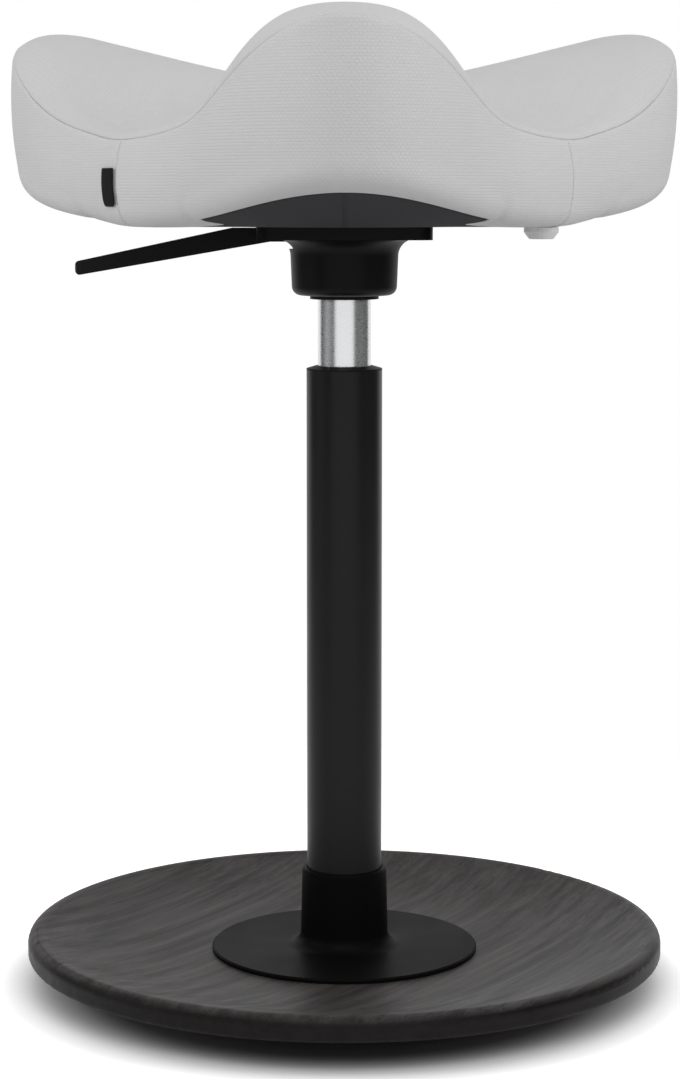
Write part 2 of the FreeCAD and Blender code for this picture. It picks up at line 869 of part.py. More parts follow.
def seat_section(angle, inset):
    """The named points of the seat's outline at one angle, moved in by inset."""
    plan = lobe_share(angle, SHAPE_OF_PLAN)
    reach = between(s.valley_reach.number, s.lobe_reach.number, plan)
    seam_share = lobe_share(angle, SHAPE_OF_SEAM, EVEN_PART_OF_SEAM, FULLNESS_OF_SEAM)
    edge_share = lobe_share(angle, SHAPE_OF_EDGE, EVEN_PART_OF_EDGE)
    seam = between(s.valley_seam.number, s.lobe_seam.number, seam_share)
    edge = between(s.valley_edge.number, s.lobe_edge.number, edge_share)
    drawn_in = between(s.valley_draw_in.number, s.lobe_draw_in.number, plan)
    foot = reach - drawn_in
    corner = s.lower_corner.number
    flank_share = 1 - (2 * lobe_share(angle, SHAPE_OF_FLANK) - 1) ** 2
    crown = between(s.valley_crown.number, s.lobe_crown.number, plan) + s.flank_crown.number * flank_share
    depth = between(s.valley_edge_depth.number, s.lobe_edge_depth.number, plan)
    hub = s.hub_radius.number
    middle = s.seat_middle.number
    bottom = s.seat_bottom.number
    rise = seam + crown - middle
    half_share = 0.5 ** SHAPE_OF_SADDLE
    slant = inset * DIAGONAL
    points = {
        "hub_top": (hub, middle - inset),
        "saddle": ((hub + reach - depth) / 2, middle + rise * half_share - inset),
        "shoulder": (reach - depth, seam + crown - inset),
        "round": (reach - depth * (1 - DIAGONAL) - slant, seam + crown * DIAGONAL - slant),
        "seam": (reach - inset, seam),
        "side": ((reach + foot) / 2 + s.side_bulge.number - inset, (seam + edge + corner) / 2),
        "side_foot": (foot - inset, edge + corner),
        "corner": (foot - corner * (1 - DIAGONAL) - slant, edge + corner * (1 - DIAGONAL) + slant),
        "edge": (foot - corner, edge + inset),
        "flat_end": (s.flat_radius.number, bottom + inset),
        "hub_bottom": (hub, bottom + inset),
    }
    return {
        name: FreeCAD.Vector(radius * math.sin(angle), -radius * math.cos(angle), height)
        for name, (radius, height) in points.items()
    }


def arc(points, first, through, last):
    return Part.Arc(points[first], points[through], points[last]).toShape()


def line(start, end):
    return Part.LineSegment(start, end).toShape()


def foam_wire(angle):
    p = seat_section(angle, s.cover_thickness.number + s.soft_gap.number)
    return Part.Wire([
        arc(p, "hub_top", "saddle", "shoulder"),
        arc(p, "shoulder", "round", "seam"),
        arc(p, "seam", "side", "side_foot"),
        arc(p, "side_foot", "corner", "edge"),
        line(p["edge"], p["flat_end"]),
        line(p["flat_end"], p["hub_bottom"]),
        line(p["hub_bottom"], p["hub_top"]),
    ])


def top_wire(angle):
    outer = seat_section(angle, 0)
    inner = seat_section(angle, s.cover_thickness.number)
    return Part.Wire([
        arc(outer, "hub_top", "saddle", "shoulder"),
        arc(outer, "shoulder", "round", "seam"),
        line(outer["seam"], inner["seam"]),
        arc(inner, "seam", "round", "shoulder"),
        arc(inner, "shoulder", "saddle", "hub_top"),
        line(inner["hub_top"], outer["hub_top"]),
    ])


def side_wire(angle):
    outer = seat_section(angle, 0)
    inner = seat_section(angle, s.cover_thickness.number)
    below = FreeCAD.Vector(0, 0, s.seam_gap.number)
    for points in (outer, inner):
        points["seam"] = points["seam"] - below
    return Part.Wire([
        arc(outer, "seam", "side", "side_foot"),
        arc(outer, "side_foot", "corner", "edge"),
        line(outer["edge"], inner["edge"]),
        arc(inner, "edge", "corner", "side_foot"),
        arc(inner, "side_foot", "side", "seam"),
        line(inner["seam"], outer["seam"]),
    ])


def bottom_wire(angle):
    outer = seat_section(angle, 0)
    inner = seat_section(angle, s.cover_thickness.number)
    apart = s.seam_gap.number
    inward = FreeCAD.Vector(-math.sin(angle), math.cos(angle), 0) * apart
    start = outer["edge"] + inward
    end = inner["edge"] + inward
    return Part.Wire([
        line(start, outer["flat_end"]),
        line(outer["flat_end"], outer["hub_bottom"]),
        line(outer["hub_bottom"], inner["hub_bottom"]),
        line(inner["hub_bottom"], inner["flat_end"]),
        line(inner["flat_end"], end),
        line(end, start),
    ])


LOBE_TURN = 2 * math.pi / LOBES


def section_angle(index):
    """Sections are counted from the left valley of the front lobe."""
    return (index / SEAT_SECTIONS_PER_LOBE - 0.5) * LOBE_TURN


def round_loft(wire_at):
    """A whole turn of sections, lofted into one closed ring."""
    count = LOBES * SEAT_SECTIONS_PER_LOBE
    return Part.makeLoft([wire_at(section_angle(index)) for index in range(count)], True, False, True)


def solid_cylinder(radius, bottom, top, x=0, y=0):
    return Part.makeCylinder(radius, top - bottom, FreeCAD.Vector(x, y, bottom))


def feature(name, shape):
    item = doc.addObject("Part::Feature", name)
    item.Shape = shape
    return keep(item, name)


def hub(bottom, top):
    """Closes the middle of a cover or of the foam, just below the faces of the ring of sections."""
    step = s.hub_step.number
    return solid_cylinder(s.hub_radius.number + s.hub_overlap.number, bottom + step, top - step)


def stem_hole():
    x, y = BUMPER_PLACE
    radius = s.bumper_stem_radius + s.soft_gap
    top = bumper_top + s.bumper_stem_length + s.soft_gap
    return solid_cylinder(radius.number, s.seat_bottom.number, top.number, x.number, y.number)


def seat_foam():
    inset = s.cover_thickness.number + s.soft_gap.number
    block = round_loft(foam_wire).fuse(hub(s.seat_bottom.number + inset, s.seat_middle.number - inset))
    pocket_radius = s.board_radius.number + s.soft_gap.number
    pocket_top = board_top.number + s.soft_gap.number
    block = block.cut(solid_cylinder(pocket_radius, s.seat_bottom.number, pocket_top))
    return block.cut(stem_hole())


def top_cover():
    top = s.seat_middle.number
    return round_loft(top_wire).fuse(hub(top - s.cover_thickness.number, top))


def bottom_cover():
    shape = round_loft(bottom_wire)
    bottom = s.seat_bottom.number
    hole = s.screw_radius.number + s.screw_hole.number
    past = s.overrun.number
    for x, y in SCREW_PLACES:
        drill = solid_cylinder(hole, bottom - past, board_bottom.number + past, x.number, y.number)
        shape = shape.cut(drill)
    return shape.cut(stem_hole())


def lobe_wedge(lobe):
    """The space from one valley to the next, short of both by half a seam gap."""
    gap = s.seam_gap.number / s.valley_reach.number
    base = s.seat_bottom.number - s.overrun.number
    height = s.lobe_seam.number + s.overrun.number - base
    reach = s.lobe_reach.number + s.side_bulge.number + s.overrun.number
    origin = FreeCAD.Vector(0, 0, 0)
    up = FreeCAD.Vector(0, 0, 1)
    wedge = Part.makeCylinder(reach, height, up * base, up, math.degrees(LOBE_TURN - gap))
    first = section_angle(lobe * SEAT_SECTIONS_PER_LOBE) + gap / 2
    wedge.rotate(origin, up, math.degrees(first) - 90)
    return wedge


feature("seat_foam", seat_foam())
feature("top_cover", top_cover())
feature("bottom_cover", bottom_cover())
side_band = round_loft(side_wire).cut(stem_hole())
for lobe, side_name in enumerate(("front_side_cover", "right_side_cover", "left_side_cover")):
    feature(side_name, side_band.common(lobe_wedge(lobe)))


# Tag sewn flat beside the seam in the left valley

def seat_tag():
    width = s.tag_width.number
    angle = -math.pi / LOBES
    outward = FreeCAD.Vector(math.sin(angle), -math.cos(angle), 0)
    along = FreeCAD.Vector(outward.y, -outward.x, 0)
    side = seat_section(angle, 0)["side"]
    start = outward * (math.hypot(side.x, side.y) + s.tag_standoff.number)
    low = s.tag_bottom.number
    high = low + s.tag_length.number
    corner = s.tag_corner.number
    rim = corner * (1 - DIAGONAL)

    def at(across, height):
        return start + along * across + FreeCAD.Vector(0, 0, height)

    outline = Part.Wire([
        line(at(0, high), at(0, low + corner)),
        Part.Arc(at(0, low + corner), at(rim, low + rim), at(corner, low)).toShape(),
        line(at(corner, low), at(width - corner, low)),
        Part.Arc(at(width - corner, low), at(width - rim, low + rim), at(width, low + corner)).toShape(),
        line(at(width, low + corner), at(width, high)),
        line(at(width, high), at(0, high)),
    ])
    return Part.Face(outline).extrude(outward * s.tag_thickness.number)


# Bumper foot under the right valley, pushed into the foam by its own stem

def seat_bumper():
    top = bumper_top
    low = s.seat_bottom - s.bumper_height
    return turned("seat_bumper", [
        (0, low),
        (s.bumper_foot_radius - s.bumper_chamfer, low),
        (s.bumper_foot_radius, low + s.bumper_chamfer),
        (s.bumper_radius, top - s.bumper_base),
        (s.bumper_radius, top),
        (s.bumper_stem_radius, top),
        (s.bumper_stem_radius, top + s.bumper_stem_length),
        (0, top + s.bumper_stem_length),
    ])


feature("seat_tag", seat_tag())
keep(place(seat_bumper(), *BUMPER_PLACE), "seat_bumper")

# Check every object, then write one file for each piece

doc.recompute()
for item in doc.Objects:
    if "Invalid" in item.State or "Error" in item.State:
        raise RuntimeError(f"{item.Label} failed: {item.State}")
for item in nodes:
    if item.Shape.isNull() or not item.Shape.isValid():
        raise RuntimeError(f"{item.Label} has no valid shape")

os.makedirs("parts", exist_ok=True)
for item in nodes:
    item.Shape.exportStep(os.path.join("parts", f"{item.Label}.step"))
    print(item.Label, len(item.Shape.Solids), round(item.Shape.Volume, 1))
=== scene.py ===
import json
import math

import bpy
import numpy as np
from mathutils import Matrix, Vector
from mathutils.kdtree import KDTree


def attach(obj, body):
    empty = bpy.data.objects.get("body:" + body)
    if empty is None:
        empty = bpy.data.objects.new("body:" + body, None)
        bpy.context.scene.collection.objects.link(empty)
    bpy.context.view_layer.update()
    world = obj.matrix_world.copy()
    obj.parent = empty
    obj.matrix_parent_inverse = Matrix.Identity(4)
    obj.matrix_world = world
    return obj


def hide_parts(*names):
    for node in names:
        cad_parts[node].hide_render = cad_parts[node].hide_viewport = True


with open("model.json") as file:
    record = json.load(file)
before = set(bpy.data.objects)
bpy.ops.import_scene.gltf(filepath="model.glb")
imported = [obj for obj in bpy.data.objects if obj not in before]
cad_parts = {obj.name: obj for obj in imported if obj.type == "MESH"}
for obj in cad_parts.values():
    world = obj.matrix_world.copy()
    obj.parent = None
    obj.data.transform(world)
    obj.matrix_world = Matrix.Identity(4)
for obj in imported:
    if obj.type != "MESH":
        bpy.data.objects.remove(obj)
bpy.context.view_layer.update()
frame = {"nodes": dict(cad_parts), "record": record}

# Metres, +Z up, origin on the floor under the column, front lobe towards -Y.

MM = 0.001

# Seat outline, as in the CAD source but for its foot in the valleys
LOBES = 3
FLAT_RADIUS = 82 * MM
HUB_RADIUS = 10 * MM
VALLEY_REACH, LOBE_REACH = 161.2 * MM, 252.4 * MM
VALLEY_SEAM, LOBE_SEAM = 561.6 * MM, 628.4 * MM
VALLEY_EDGE, LOBE_EDGE = 506.8 * MM, 528.4 * MM
VALLEY_DEPTH, LOBE_DEPTH = 12 * MM, 36.8 * MM
VALLEY_DRAW_IN, LOBE_DRAW_IN = -3.0 * MM, 3.9 * MM
SEAT_MIDDLE = 595 * MM
SEAT_BOTTOM = 506.5 * MM
VALLEY_CROWN, LOBE_CROWN, FLANK_CROWN = 5.2 * MM, 6.9 * MM, 7.0 * MM
VALLEY_CORNER, LOBE_CORNER = 13 * MM, 20 * MM
SIDE_BULGE = 3 * MM
SHAPE_OF_PLAN = 2.09
SHAPE_OF_SEAM = 5.76
SHAPE_OF_EDGE = 5.5
EVEN_PART_OF_SEAM = 0.28
FULLNESS_OF_SEAM = 2.42
EVEN_PART_OF_EDGE = 0.5
SHAPE_OF_FLANK = 4.17
SHAPE_OF_SADDLE = 1.22
VALLEY_TURN = math.pi / LOBES
DIAGONAL = math.sqrt(0.5)

# Side cloth drawn under the seat round each valley: where it starts, how soon and how far it reaches
WRAP_START, WRAP_SPAN, WRAP_SHARE = 0.46, 0.16, 0.5

# Seams: distances from a seam at which the cloth has its own rows of points
SEAM_ROWS = [0.0, 0.5 * MM, 1.1 * MM, 2.0 * MM, 3.4 * MM, 5.5 * MM]
SEAM_DEPTH = 0.85 * MM
SEAM_WIDTH = 1.3 * MM
SEAM_GAP = 0.15 * MM
TURN_IN = 3.5 * MM
CLOTH_THICKNESS = 1.4 * MM
ROW_STEP = 5 * MM
COLUMNS_PER_LOBE = 76
POINTS_PER_ARC = 40
SEAM_CLEARANCE = 1.5

# Weave of the seat's cloth
STITCH_LENGTH, STITCH_HEIGHT, STITCH_GAP = 3.0 * MM, 1.9 * MM, 0.62 * MM

# Label, as in the CAD source
TAG_WIDTH = 18 * MM
TAG_BOTTOM, TAG_TOP = 519.4 * MM, 543.6 * MM
TAG_CORNER = 3 * MM
TAG_LIFT = 0.9 * MM
TAG_THICKNESS = 0.6 * MM
TAG_COLUMNS, TAG_ROWS = 11, 15

# Grain of the disc, turned about the column
GRAIN_TURN = math.radians(32)

# Swelling of the cushion
FORM_COLUMNS, FORM_ROWS = 180, 110
SEAM_PINS = 720
SHRUNK_BY = 1.2 * MM
SWELL_CAP = 2.6 * MM
VOXEL = 6 * MM
PRESSURE = 4.0
LAST_FRAME = 20
CLOTH_QUALITY = 5
STRETCH_STIFFNESS, SHEAR_STIFFNESS, BENDING_STIFFNESS = 25, 10, 1.0
PIN_REACH = 9 * MM
PINNED_FLAT = 1.2
NEIGHBOURS = 6
TINY = 1e-9

# Camera
IMAGE_HEIGHT = 1079
FOCAL_PIXELS = 2717.9
SENSOR = 36.0
CAMERA_PLACE = Vector((-2.886, -1793.22, 531.23)) * MM
CAMERA_PITCH = math.radians(7.3712)

# Floor and light: the floor's own colour, the painted shadow it shows under the base, and the white it
# shows out from it
FLOOR_SIZE = 12.0
FLOOR_LEVEL = 0.7
# Painted shadow: how dark the seen floor is under the base, how light further out, and where that change
# starts and ends
FLOOR_PAINTED_SHADOW, FLOOR_SEEN = 0.22, 1.5
PAINTED_SHADOW_START, PAINTED_SHADOW_END = 0.17, 0.235
WHITE_START, WHITE_END = 0.35, 0.8
WORLD_LEVEL = 0.54
FLAG_RADIUS, FLAG_BOTTOM, FLAG_TOP = 1.5, 0.001, 2.2
FLAG_COLUMNS = 12


# Seat form

def lobe_share(angle, shape, even_part=0, fullness=0):
    """1 in the middle of a lobe and 0 in a valley.

    The even part rises along a plain cosine, and fullness swells the shoulders of the rest.
    """
    wave = (1 + math.cos(LOBES * angle)) / 2
    peak = wave ** shape * (1 + fullness * (1 - wave))
    return even_part * wave + (1 - even_part) * peak


def between(valley, lobe, share):
    return valley + (lobe - valley) * share


def arc(start, through, end, count=POINTS_PER_ARC):
    """Points on the circle through three points, from start to end."""
    (ax, ay), (bx, by), (cx, cy) = start, through, end
    d = 2 * (ax * (by - cy) + bx * (cy - ay) + cx * (ay - by))
    a2, b2, c2 = ax * ax + ay * ay, bx * bx + by * by, cx * cx + cy * cy
    x = (a2 * (by - cy) + b2 * (cy - ay) + c2 * (ay - by)) / d
    y = (a2 * (cx - bx) + b2 * (ax - cx) + c2 * (bx - ax)) / d
    radius = math.hypot(ax - x, ay - y)
    first = math.atan2(ay - y, ax - x)
    middle = math.atan2(by - y, bx - x)
    last = math.atan2(cy - y, cx - x)
    turn = (last - first) % (2 * math.pi)
    if (middle - first) % (2 * math.pi) > turn:
        turn -= 2 * math.pi
    t = first + turn * np.linspace(0, 1, count)
    return np.stack([x + radius * np.cos(t), y + radius * np.sin(t)], 1)


def seat_profiles(angle):
    """The seat's outline at one angle, as (radius, height) lines of top, side and underside.

    Round a valley the side runs on under the seat, by a share that fades out towards the lobes.
    """
    plan = lobe_share(angle, SHAPE_OF_PLAN)
    reach = between(VALLEY_REACH, LOBE_REACH, plan)
    seam_share = lobe_share(angle, SHAPE_OF_SEAM, EVEN_PART_OF_SEAM, FULLNESS_OF_SEAM)
    seam = between(VALLEY_SEAM, LOBE_SEAM, seam_share)
    edge = between(VALLEY_EDGE, LOBE_EDGE, lobe_share(angle, SHAPE_OF_EDGE, EVEN_PART_OF_EDGE))
    flank_share = 1 - (2 * lobe_share(angle, SHAPE_OF_FLANK) - 1) ** 2
    crown = between(VALLEY_CROWN, LOBE_CROWN, plan) + FLANK_CROWN * flank_share
    foot = reach - between(VALLEY_DRAW_IN, LOBE_DRAW_IN, plan)
    depth = between(VALLEY_DEPTH, LOBE_DEPTH, plan)
    rise = seam + crown - SEAT_MIDDLE
    corner = between(VALLEY_CORNER, LOBE_CORNER, plan)
    hub_top = (HUB_RADIUS, SEAT_MIDDLE)
    saddle = ((HUB_RADIUS + reach - depth) / 2, SEAT_MIDDLE + rise * 0.5 ** SHAPE_OF_SADDLE)
    shoulder = (reach - depth, seam + crown)
    rounded = (reach - depth * (1 - DIAGONAL), seam + crown * DIAGONAL)
    seam_point = (reach, seam)
    side = ((reach + foot) / 2 + SIDE_BULGE, (seam + edge + corner) / 2)
    side_foot = (foot, edge + corner)
    turn = (foot - corner * (1 - DIAGONAL), edge + corner * (1 - DIAGONAL))
    lower_edge = (foot - corner, edge)
    top = np.vstack([
        [(0, SEAT_MIDDLE)],
        arc(hub_top, saddle, shoulder),
        arc(shoulder, rounded, seam_point)[1:],
    ])
    wave = lobe_share(angle, 1)
    wrap = min(max((WRAP_START - wave) / WRAP_SPAN, 0), 1)
    wrap_share = WRAP_SHARE * wrap * wrap * (3 - 2 * wrap)
    wrapped = (between(lower_edge[0], FLAT_RADIUS, wrap_share), between(edge, SEAT_BOTTOM, wrap_share))
    below = [wrapped] if wrap_share > 0 else []
    band = np.vstack([arc(seam_point, side, side_foot), arc(side_foot, turn, lower_edge)[1:], *below])
    under = np.array([wrapped, (FLAT_RADIUS, SEAT_BOTTOM), (0, SEAT_BOTTOM)])
    return top, band, under


def along(line):
    """How far along a line of points each one lies."""
    return np.concatenate([[0], np.cumsum(np.linalg.norm(np.diff(line, axis=0), axis=1))])


def resampled(line, places):
    """Points at given places along a line."""
    reach = along(line)
    return np.stack([np.interp(places, reach, line[:, k]) for k in (0, 1)], 1)


def spaced(total, seam_first, seam_last, count):
    """count places from 0 to total, with the rows of a seam at either end."""
    first = SEAM_ROWS if seam_first else [0.0]
    last = [total - row for row in reversed(SEAM_ROWS)] if seam_last else [total]
    inner = np.linspace(first[-1], last[0], count - len(first) - len(last) + 2)[1:-1]
    return np.concatenate([first, inner, last])


def on_seat(angle, points):
    """(radius, height) points set at an angle from the middle of the front lobe, in the stool's frame."""
    return np.stack([points[:, 0] * math.sin(angle), -points[:, 0] * math.cos(angle), points[:, 1]], 1)


def row_count(profile_index):
    """Rows of points that the longest of the seat's lines of one kind takes."""
    longest = max(along(seat_profiles(angle)[profile_index])[-1] for angle in (0, VALLEY_TURN))
    return int(longest / ROW_STEP) + len(SEAM_ROWS)


# Rows of points on the top, side and underside lines, and whether each line starts and ends at a seam
ROWS = [row_count(index) for index in range(3)]
SEAMS = [(False, True), (True, True), (True, False)]


def band_angles(middle):
    """Angles from valley to valley round one lobe, with the rows of the seams at both ends."""
    step = [row / VALLEY_REACH for row in SEAM_ROWS]
    first, last = middle - VALLEY_TURN, middle + VALLEY_TURN
    inner = np.linspace(first + step[-1], last - step[-1], COLUMNS_PER_LOBE)[1:-1]
    return np.concatenate([[first + s for s in step], inner, [last - s for s in reversed(step)]])


def around(middle_seams=False):
    """Angles of a whole turn, starting in the left valley of the front lobe."""
    turns = []
    for lobe in range(LOBES):
        middle = lobe * 2 * VALLEY_TURN
        angles = band_angles(middle)
        if middle_seams:
            step = [row / VALLEY_REACH for row in SEAM_ROWS]
            clear = np.abs(angles - middle) > step[-1] * SEAM_CLEARANCE
            extra = [middle + s for s in step] + [middle - s for s in step[1:]]
            angles = np.sort(np.concatenate([angles[clear], extra]))
        turns.append(angles[:-1])
    return np.concatenate(turns)


def seat_grid(profile_index, angles):
    """Points by angle and row, and the distance along the profile of each."""
    columns, places = [], []
    for angle in angles:
        line = seat_profiles(angle)[profile_index]
        at = spaced(along(line)[-1], *SEAMS[profile_index], ROWS[profile_index])
        columns.append(on_seat(angle, resampled(line, at)))
        places.append(at)
    return np.array(columns), np.array(places)


def grid_normals(points, closed):
    """Outward unit normals of a grid of points, by angle and row."""
    if closed:
        padded = np.concatenate([points[-1:], points, points[:1]])
        across = padded[2:] - padded[:-2]
    else:
        across = np.gradient(points, axis=0)
    down = np.gradient(points, axis=1)
    normals = np.cross(down, across)
    length = np.linalg.norm(normals, axis=2, keepdims=True)
    return normals / np.maximum(length, 1e-12)


# Swelling: the whole cushion is blown up a little between its seams, and the cloth pieces take that over

def closed_cushion():
    """One closed mesh of the seat, a little smaller than the seat itself."""
    angles = np.linspace(0, 2 * math.pi, FORM_COLUMNS, endpoint=False)
    rings = []
    for angle in angles:
        top, band, under = seat_profiles(angle)
        line = np.vstack([top, band[1:], under[1:]])
        places = np.linspace(0, along(line)[-1], FORM_ROWS)
        rings.append(on_seat(angle, resampled(line, places)))
    grid = np.array(rings)
    grid = grid - grid_normals(grid, closed=True) * SHRUNK_BY
    columns, rows = grid.shape[:2]
    grid[:, 0] = grid[:, 0].mean(0)
    grid[:, -1] = grid[:, -1].mean(0)
    points = [grid[0, 0]] + list(grid[:, 1:-1].reshape(-1, 3)) + [grid[0, -1]]
    inner = rows - 2
    faces = []
    for i in range(columns):
        j = (i + 1) % columns
        a, b = 1 + i * inner, 1 + j * inner
        faces.append((0, a, b))
        faces += [(a + k, a + k + 1, b + k + 1, b + k) for k in range(inner - 1)]
        faces.append((a + inner - 1, len(points) - 1, b + inner - 1))
    mesh = bpy.data.meshes.new("cushion_form")
    mesh.from_pydata([tuple(p) for p in points], [], faces)
    mesh.update()
    form = bpy.data.objects.new("cushion_form", mesh)
    bpy.context.scene.collection.objects.link(form)
    return form


def seam_points():
    """Points along every seam of the seat, for pinning the cloth there."""
    points = []
    for angle in np.linspace(0, 2 * math.pi, SEAM_PINS, endpoint=False):
        top, band, under = seat_profiles(angle)
        points.append(on_seat(angle, np.array([band[0], band[-1]])))
    for lobe in range(LOBES):
        valley = VALLEY_TURN + lobe * 2 * VALLEY_TURN
        points.append(on_seat(valley, seat_profiles(valley)[1]))
    return np.vstack(points)


def tree_of(points):
    tree = KDTree(len(points))
    for index, point in enumerate(points):
        tree.insert(point, index)
    tree.balance()
    return tree


def vertices_of(mesh):
    flat = np.zeros(len(mesh.vertices) * 3)
    mesh.vertices.foreach_get("co", flat)
    return flat.reshape(-1, 3)


def swelling():
    """Rest points of the cushion and how far the pressure moves each, capped."""
    form = closed_cushion()
    bpy.context.view_layer.objects.active = form
    remesh = form.modifiers.new("remesh", "REMESH")
    remesh.mode = "VOXEL"
    remesh.voxel_size = VOXEL
    bpy.ops.object.modifier_apply(modifier=remesh.name)
    rest = vertices_of(form.data)
    seams = tree_of(seam_points())
    pins = form.vertex_groups.new(name="pins")
    for index, point in enumerate(rest):
        distance = seams.find(point)[2]
        held = max(0.0, 1 - distance / PIN_REACH)
        if point[2] < SEAT_BOTTOM + VOXEL and math.hypot(point[0], point[1]) < FLAT_RADIUS * PINNED_FLAT:
            held = 1.0
        if held:
            pins.add([index], held, "REPLACE")
    cloth = form.modifiers.new("cloth", "CLOTH")
    settings = cloth.settings
    settings.use_pressure = True
    settings.uniform_pressure_force = PRESSURE
    settings.vertex_group_mass = pins.name
    settings.quality = CLOTH_QUALITY
    settings.tension_stiffness = settings.compression_stiffness = STRETCH_STIFFNESS
    settings.shear_stiffness = SHEAR_STIFFNESS
    settings.bending_stiffness = BENDING_STIFFNESS
    settings.effector_weights.gravity = 0
    cloth.point_cache.frame_end = LAST_FRAME
    scene = bpy.context.scene
    for number in range(1, LAST_FRAME + 1):
        scene.frame_set(number)
    evaluated = form.evaluated_get(bpy.context.evaluated_depsgraph_get())
    moved = vertices_of(evaluated.to_mesh()) - rest
    evaluated.to_mesh_clear()
    scene.frame_set(1)
    bpy.data.objects.remove(form)
    size = np.linalg.norm(moved, axis=1, keepdims=True)
    moved *= np.minimum(1, SWELL_CAP / np.maximum(size, TINY))
    return tree_of(rest), moved


SWELLING = swelling()


def swollen(points):
    """Moves points with the cloth around them, less what the form was shrunk by."""
    if SWELLING is None:
        return points
    tree, moved = SWELLING
    out = points.copy()
    for index, point in enumerate(points):
        near = tree.find_n(point, NEIGHBOURS)
        weights = np.array([1 / (distance + VOXEL / 4) ** 2 for _, _, distance in near])
        shift = sum(w * moved[i] for w, (_, i, _) in zip(weights, near)) / weights.sum()
        out[index] = point + shift
    return out


# Cloth pieces

def new_piece(name, points, faces, weave):
    """A smooth mesh that keeps where each point lies in the flat cloth, for the weave."""
    mesh = bpy.data.meshes.new(name)
    mesh.from_pydata([tuple(p) for p in points], [], faces)
    place = mesh.attributes.new("weave", "FLOAT_VECTOR", "POINT")
    flat = np.zeros((len(points), 3))
    flat[:, :2] = weave
    place.data.foreach_set("vector", flat.ravel())
    mesh.polygons.foreach_set("use_smooth", [True] * len(faces))
    mesh.update()
    piece = bpy.data.objects.new(name, mesh)
    bpy.context.scene.collection.objects.link(piece)
    return piece


def grid_faces(columns, rows, closed):
    faces = []
    for i in range(columns if closed else columns - 1):
        j = (i + 1) % columns
        faces += [(i * rows + k, i * rows + k + 1, j * rows + k + 1, j * rows + k) for k in range(rows - 1)]
    return faces


def groove(distance):
    """How far cloth dips at a distance from a seam."""
    return SEAM_DEPTH * np.exp(-(distance / SEAM_WIDTH) ** 2)


def thickened(piece, thickness=CLOTH_THICKNESS):
    solid = piece.modifiers.new("thickness", "SOLIDIFY")
    solid.thickness = thickness
    solid.offset = -1
    smooth = piece.modifiers.new("smooth", "SUBSURF")
    smooth.levels = smooth.render_levels = 1
    return piece


def sunk(grid, normals, distance):
    """Dips the grid at its seams."""
    return grid - normals * groove(distance)[..., None]


def top_piece():
    """The top cloth, with its edge tucked in at the seam."""
    angles = around()
    grid, places = seat_grid(0, angles)
    columns, rows = grid.shape[:2]
    shape = grid.shape
    grid = swollen(grid.reshape(-1, 3)).reshape(shape)
    grid[:, 0] = grid[:, 0].mean(0)
    normals = grid_normals(grid, closed=True)
    normals[:, 0] = (0, 0, 1)
    from_seam = places[:, -1:] - places
    grid = sunk(grid, normals, from_seam)
    grid[:, -1] += np.array([0, 0, SEAM_GAP])
    tucked = grid[:, -1] - normals[:, -1] * TURN_IN
    grid = np.concatenate([grid, tucked[:, None]], 1)
    places = np.concatenate([places, places[:, -1:] + TURN_IN], 1)
    weave = np.stack([places * np.sin(angles)[:, None], -places * np.cos(angles)[:, None]], 2)
    points = [grid[0, 0]] + list(grid[:, 1:].reshape(-1, 3))
    flat = [(0, 0)] + list(weave[:, 1:].reshape(-1, 2))
    faces = []
    for i in range(columns):
        j = (i + 1) % columns
        a, b = 1 + i * rows, 1 + j * rows
        faces.append((0, a, b))
        faces += [(a + k, a + k + 1, b + k + 1, b + k) for k in range(rows - 1)]
    return thickened(new_piece("seat_top", points, faces, flat))


def plan_lengths(angles):
    """Length of the seat's plan outline from the first angle to each."""
    points = np.array([on_seat(angle, seat_profiles(angle)[1][:1])[0][:2] for angle in angles])
    return along(points)


def side_piece(name, lobe):
    """The side cloth of one lobe, from valley to valley, with all its edges tucked in."""
    angles = band_angles(lobe * 2 * VALLEY_TURN)
    grid, places = seat_grid(1, angles)
    shape = grid.shape
    grid = swollen(grid.reshape(-1, 3)).reshape(shape)
    normals = grid_normals(grid, closed=False)
    run = plan_lengths(angles)
    from_ends = np.minimum(run, run[-1] - run)[:, None]
    from_rims = np.minimum(places, places[:, -1:] - places)
    grid = sunk(grid, normals, np.minimum(from_ends, from_rims))
    grid[:, 0] -= np.array([0, 0, SEAM_GAP])
    inward = grid - normals * TURN_IN
    full = np.concatenate([inward[:, :1], grid, inward[:, -1:]], 1)
    ends = np.concatenate([normals[:, :1], normals, normals[:, -1:]], 1)
    sideways = np.gradient(full, axis=0)
    sideways /= np.maximum(np.linalg.norm(sideways, axis=2, keepdims=True), 1e-12)
    full[0] += sideways[0] * SEAM_GAP
    full[-1] -= sideways[-1] * SEAM_GAP
    turned = full - ends * TURN_IN
    full = np.concatenate([turned[:1], full, turned[-1:]])
    seam_height = np.array([seat_profiles(angle)[1][0, 1] for angle in angles])[:, None]
    down = np.concatenate([places[:, :1] - TURN_IN, places, places[:, -1:] + TURN_IN], 1)
    v = seam_height - down
    u = np.repeat(run[:, None], v.shape[1], 1)
    u = np.concatenate([u[:1] - TURN_IN, u, u[-1:] + TURN_IN])
    v = np.concatenate([v[:1], v, v[-1:]])
    weave = np.stack([u, v], 2).reshape(-1, 2)
    columns, rows = full.shape[:2]
    return thickened(new_piece(name, full.reshape(-1, 3), grid_faces(columns, rows, False), weave))


